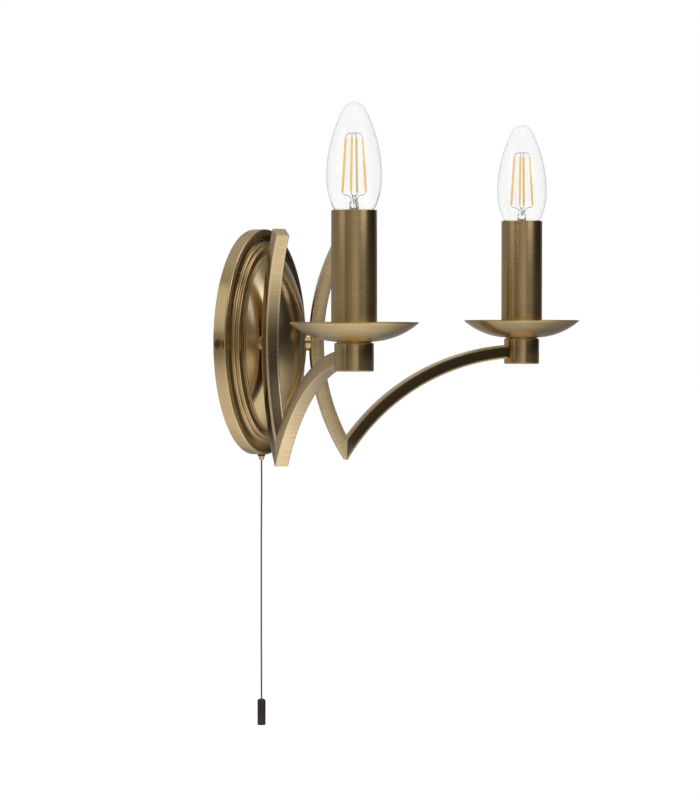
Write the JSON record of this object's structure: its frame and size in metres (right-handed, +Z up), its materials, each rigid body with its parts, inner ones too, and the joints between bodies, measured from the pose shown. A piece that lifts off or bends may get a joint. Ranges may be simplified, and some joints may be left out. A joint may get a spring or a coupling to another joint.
{
  "type": "double arm wall sconce",
  "caption": "Wall light with a stepped oval backplate, two V-shaped square-bar arms, dished drip pans, candle tubes with candle lamps, and a pull-cord switch.",
  "frame": {"origin": "centre of the two fixing slots of the bracket, on the wall plane", "axes": "+Y into the wall, -Y out into the room, +X to the right of someone facing the wall light, +Z up"},
  "size_m": [0.3302, 0.1878, 0.4217],
  "materials": {
    "plate_brass": "antique brushed and lacquered",
    "arm_brass": "antique brushed across the bar",
    "cup_brass": "antique, turned",
    "pan_brass": "antique satin, spun",
    "tube_brass": "antique, brushed around the tube",
    "screw_brass": "antique",
    "gland_brass": "satin",
    "plated_steel": "bright zinc",
    "block_nylon": "matt white",
    "switch_plastic": "matt black",
    "spring_steel": "bright",
    "washer_rubber": "matt",
    "cord_braid": "braided, dark red-brown",
    "toggle_dark": "satin, near-black brown",
    "holder_plastic": "matt off-white",
    "contact_brass": "plain",
    "lamp_cap_metal": "satin",
    "lamp_insulator_black": "gloss",
    "lamp_glass_clear": "clear",
    "filament_yellow": "phosphor-coated, unlit",
    "lead_wire": "drawn wire"
  },
  "bodies": {
    "fixture": {"backplate": "plate_brass", "left_bow": "arm_brass", "left_sweep": "arm_brass", "left_boss": "arm_brass", "right_bow": "arm_brass", "right_sweep": "arm_brass", "right_boss": "arm_brass", "left_cup": "cup_brass", "right_cup": "cup_brass", "left_drip_pan": "pan_brass", "right_drip_pan": "pan_brass", "left_candle_tube": "tube_brass", "right_candle_tube": "tube_brass", "side_screws": "screw_brass", "clamp_screws": "screw_brass", "earth_screw": "screw_brass", "cord_gland": "gland_brass", "wall_bracket": "plated_steel", "earth_washer": "plated_steel", "left_stud": "plated_steel", "left_stud_nut": "plated_steel", "left_stud_seat": "plated_steel", "left_nipple": "plated_steel", "left_pan_nut": "plated_steel", "right_stud": "plated_steel", "right_stud_nut": "plated_steel", "right_stud_seat": "plated_steel", "right_nipple": "plated_steel", "right_pan_nut": "plated_steel", "terminal_block": "block_nylon", "switch_housing": "switch_plastic", "switch_lid": "switch_plastic", "switch_spring": "spring_steel", "gland_washer": "washer_rubber", "left_lampholder": "holder_plastic", "right_lampholder": "holder_plastic", "left_holder_contact": "contact_brass", "right_holder_contact": "contact_brass"},
    "plunger": {"switch_plunger": "switch_plastic"},
    "pull": {"pull_cord": "cord_braid", "pull_toggle": "toggle_dark"},
    "left_lamp": {"left_lamp_cap": "lamp_cap_metal", "left_lamp_insulator": "lamp_insulator_black", "left_lamp_tip": "lamp_cap_metal", "left_lamp_glass": "lamp_glass_clear", "left_lamp_stem": "lamp_glass_clear", "left_lamp_filaments": "filament_yellow", "left_lamp_leads": "lead_wire"},
    "right_lamp": {"right_lamp_cap": "lamp_cap_metal", "right_lamp_insulator": "lamp_insulator_black", "right_lamp_tip": "lamp_cap_metal", "right_lamp_glass": "lamp_glass_clear", "right_lamp_stem": "lamp_glass_clear", "right_lamp_filaments": "filament_yellow", "right_lamp_leads": "lead_wire"}
  },
  "joints": [
    {"name": "switch_pull", "type": "slide", "parent": "fixture", "child": "plunger", "axis": [0, 0, -1], "range_m": [0, 0.006], "stiffness_N_per_m": 800, "springref_m": -0.003, "deforming": ["switch_spring"]},
    {"name": "cord_swing", "type": "hinge", "parent": "plunger", "child": "pull", "pos_m": [0, -0.005, -0.0823], "axis": [0, 1, 0], "range_deg": [-25, 25]},
    {"name": "left_lamp_unscrew", "type": "slide", "parent": "fixture", "child": "left_lamp", "axis": [0, 0, 1], "range_m": [0, 0.035]},
    {"name": "right_lamp_unscrew", "type": "slide", "parent": "fixture", "child": "right_lamp", "axis": [0, 0, 1], "range_m": [0, 0.035]}
  ]
}
